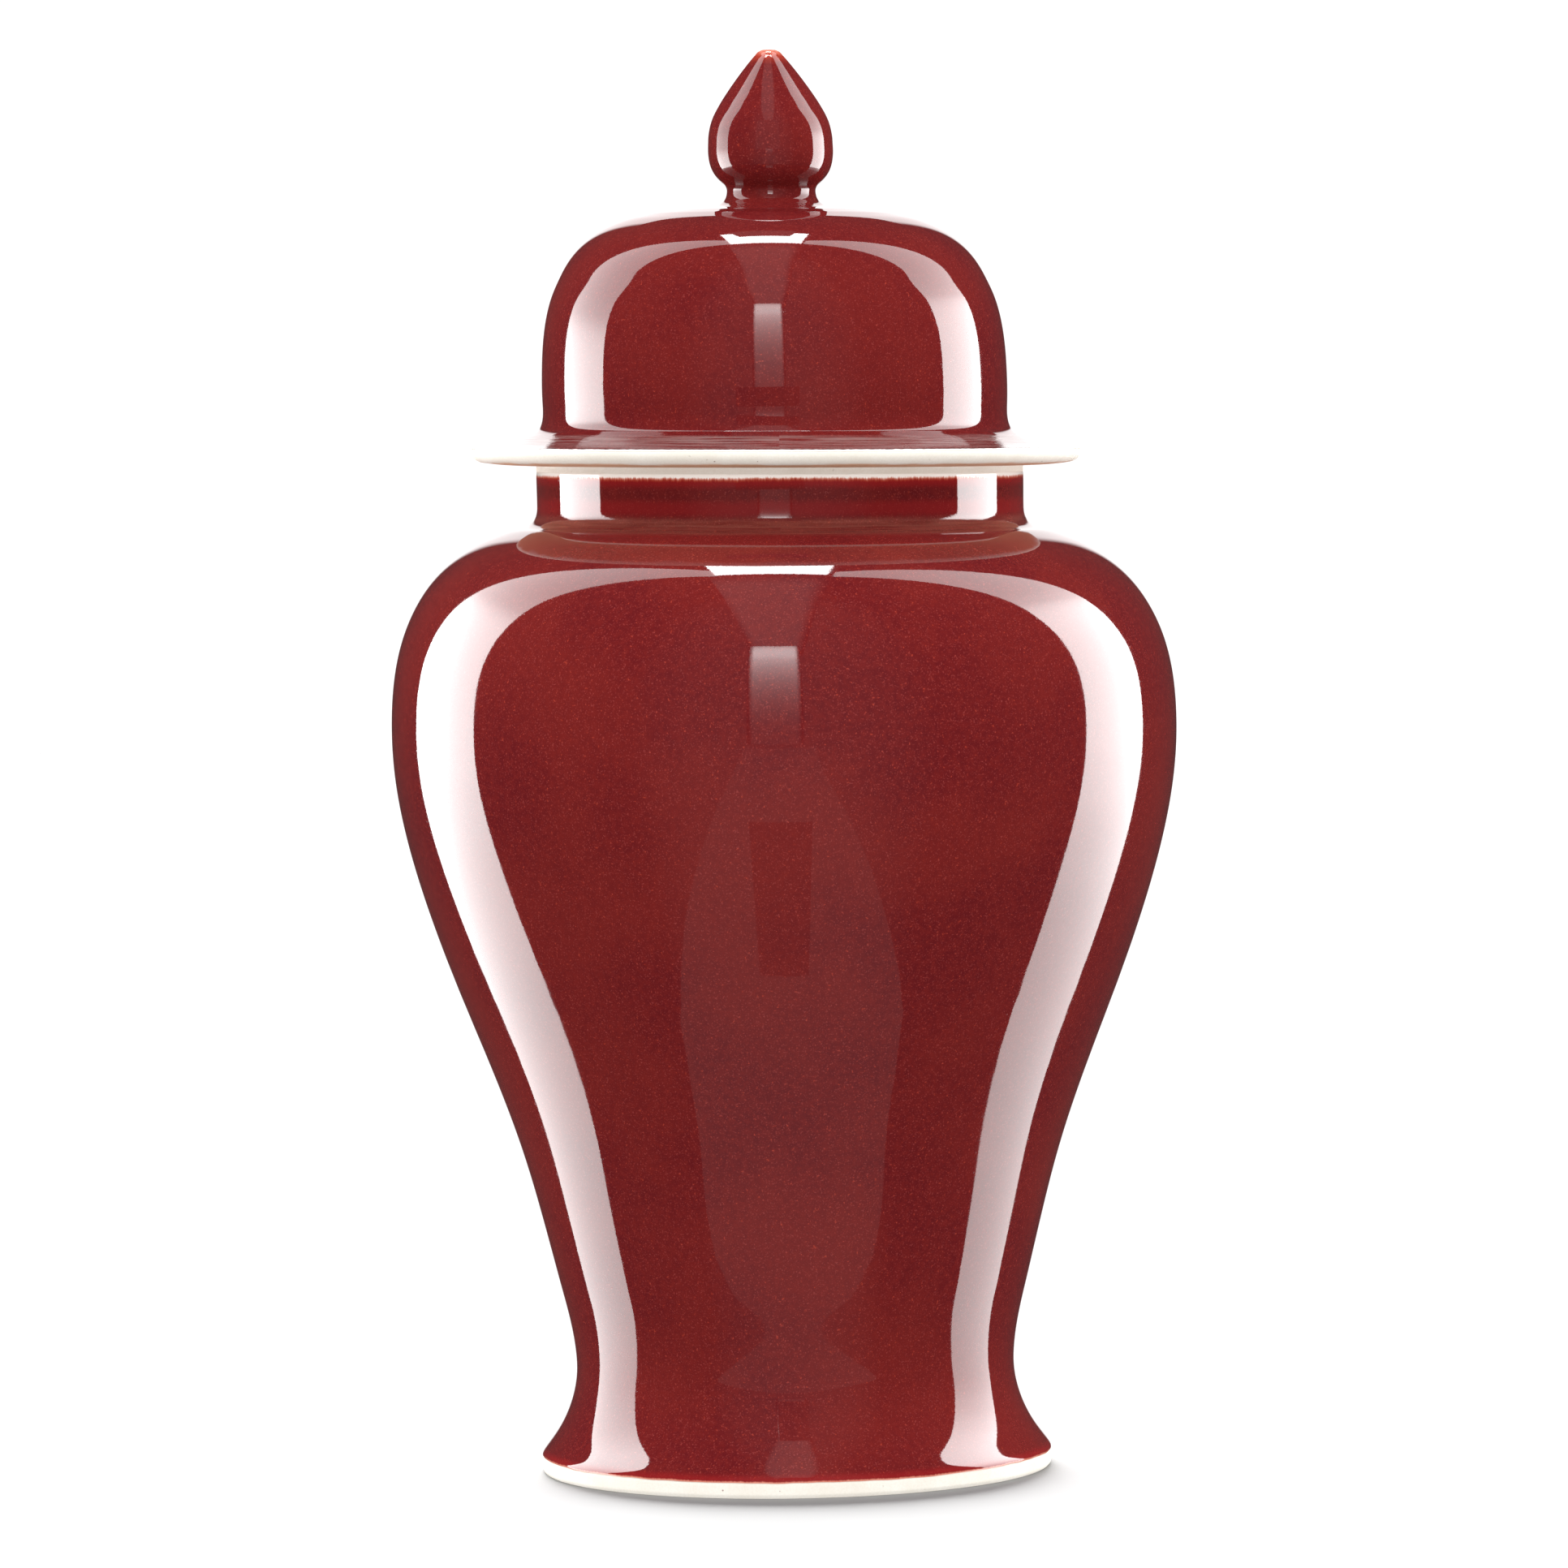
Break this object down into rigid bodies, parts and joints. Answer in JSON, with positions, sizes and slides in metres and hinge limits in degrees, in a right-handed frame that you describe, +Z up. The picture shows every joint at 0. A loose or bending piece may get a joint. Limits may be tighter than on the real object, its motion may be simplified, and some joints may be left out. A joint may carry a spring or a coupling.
{
  "type": "ginger jar",
  "caption": "Lidded baluster jar with a flared foot, broad shoulder, short neck, and a lift-off brimmed dome lid with a bud finial.",
  "frame": {"origin": "centre of the foot, on the surface that the jar stands on", "axes": "+Z up the axis of the jar, from the foot to the finial; X and Y are interchangeable on a body of revolution"},
  "size_m": [0.2804, 0.2804, 0.5061],
  "materials": {
    "biscuit": "bare fired clay, cream, matte",
    "oxblood_glaze": "deep red oxblood glaze, glossy, finely speckled",
    "clear_glaze": "clear glaze over cream clay, glossy"
  },
  "bodies": {
    "jar": {"foot_ring": "biscuit", "floor_disc": "biscuit", "lower_body": "biscuit", "upper_body": "biscuit", "neck_collar": "biscuit", "body_glaze": "oxblood_glaze", "lining_glaze": "clear_glaze", "base_glaze": "clear_glaze"},
    "lid": {"lid_flange": "biscuit", "lid_seat_ring": "biscuit", "lid_dome": "biscuit", "finial_stem": "biscuit", "finial_bud": "biscuit", "lid_glaze": "oxblood_glaze", "lid_lining_glaze": "clear_glaze"}
  },
  "joints": [
    {"name": "lid_lift", "type": "slide", "parent": "jar", "child": "lid", "axis": [0, 0, 1], "range_m": [0, 0.2]}
  ]
}
